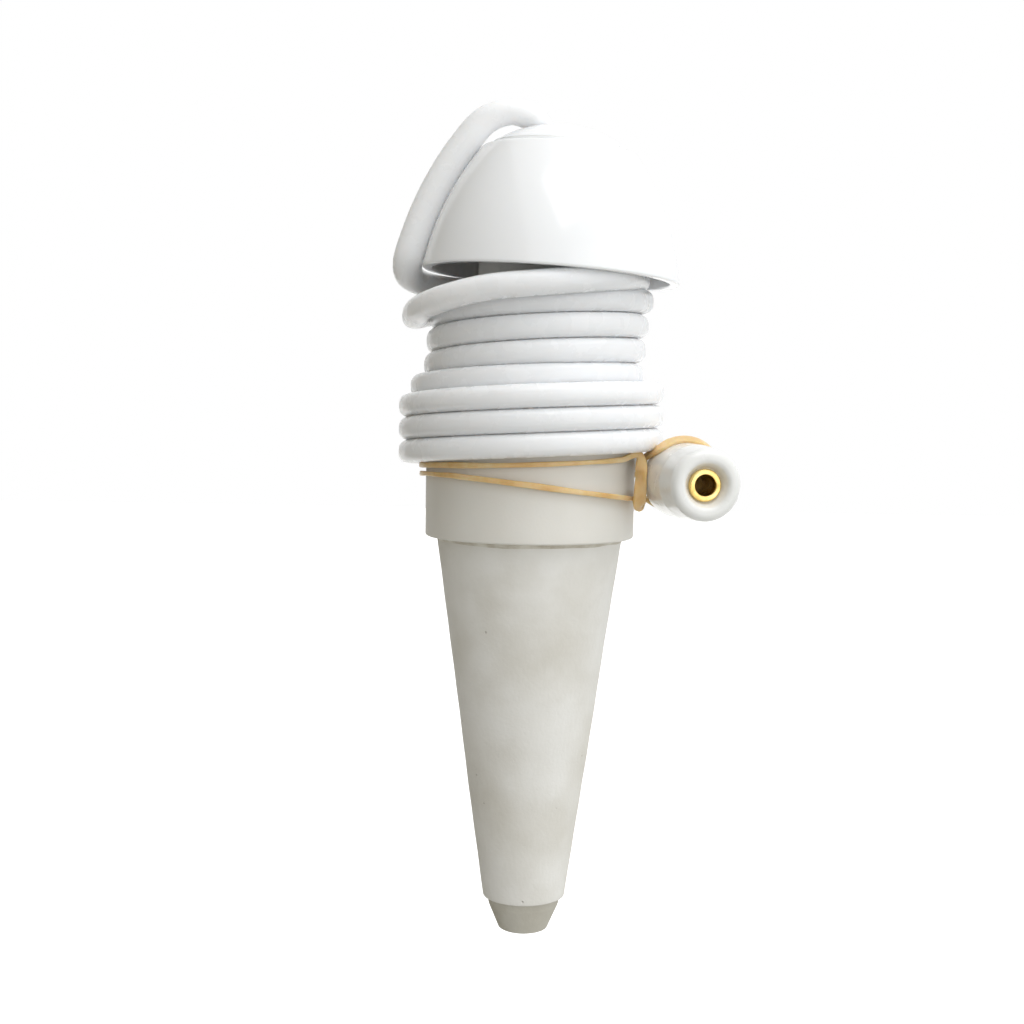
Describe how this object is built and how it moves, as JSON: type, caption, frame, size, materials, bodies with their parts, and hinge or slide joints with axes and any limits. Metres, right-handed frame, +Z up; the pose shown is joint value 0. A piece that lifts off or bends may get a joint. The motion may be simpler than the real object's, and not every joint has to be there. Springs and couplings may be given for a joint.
{
  "type": "self watering spike",
  "caption": "Porous clay cone with a threaded collar, a screwed cap under a dome, and a soft hose wound round neck and collar that ends in a glazed sinker.",
  "frame": {"origin": "centre of the collar's underside, where the soil's surface is", "axes": "+Z up along the collar's and the thread's axis, -Y towards the picture's camera, +X to the side of the sinker"},
  "size_m": [0.0543, 0.0436, 0.1365],
  "materials": {
    "fired_clay": "unglazed fired clay, fine pores",
    "tip_clay": "unglazed clay, greyer",
    "bonding_compound": "set compound, uneven",
    "collar_plastic": "matt ivory",
    "washer_rubber": "soft rubber",
    "cap_plastic": "glossy white",
    "dome_plastic": "glossy white, slightly translucent",
    "hose_silicone": "soft, satin, translucent white",
    "sinker_glaze": "white glaze",
    "ferrule_brass": "bright turned brass",
    "band_latex": "translucent amber latex"
  },
  "bodies": {
    "root": {"ceramic_cone": "fired_clay", "tip_plug": "tip_clay", "bond_ring": "bonding_compound", "collar": "collar_plastic"},
    "seal": {"sealing_washer": "washer_rubber"},
    "cap": {"neck_plug": "cap_plastic", "dome_shell": "dome_plastic", "hose_hub": "cap_plastic", "hose_loop": "hose_silicone", "hose_coil": "hose_silicone", "hose_tail": "hose_silicone", "sinker": "sinker_glaze", "sinker_ferrule": "ferrule_brass", "rubber_band": "band_latex"}
  },
  "joints": [
    {"name": "cap_lift", "type": "slide", "parent": "root", "child": "seal", "axis": [0, 0, 1], "range_m": [0, 0.008]},
    {"name": "cap_turn", "type": "hinge", "parent": "seal", "child": "cap", "pos_m": [0, 0, 0.022], "axis": [0, 0, 1], "range_deg": [0, 720]}
  ],
  "couplings": [
    {"joint": "cap_lift", "follows": "cap_turn", "m_per_rad": 0.00063662}
  ]
}
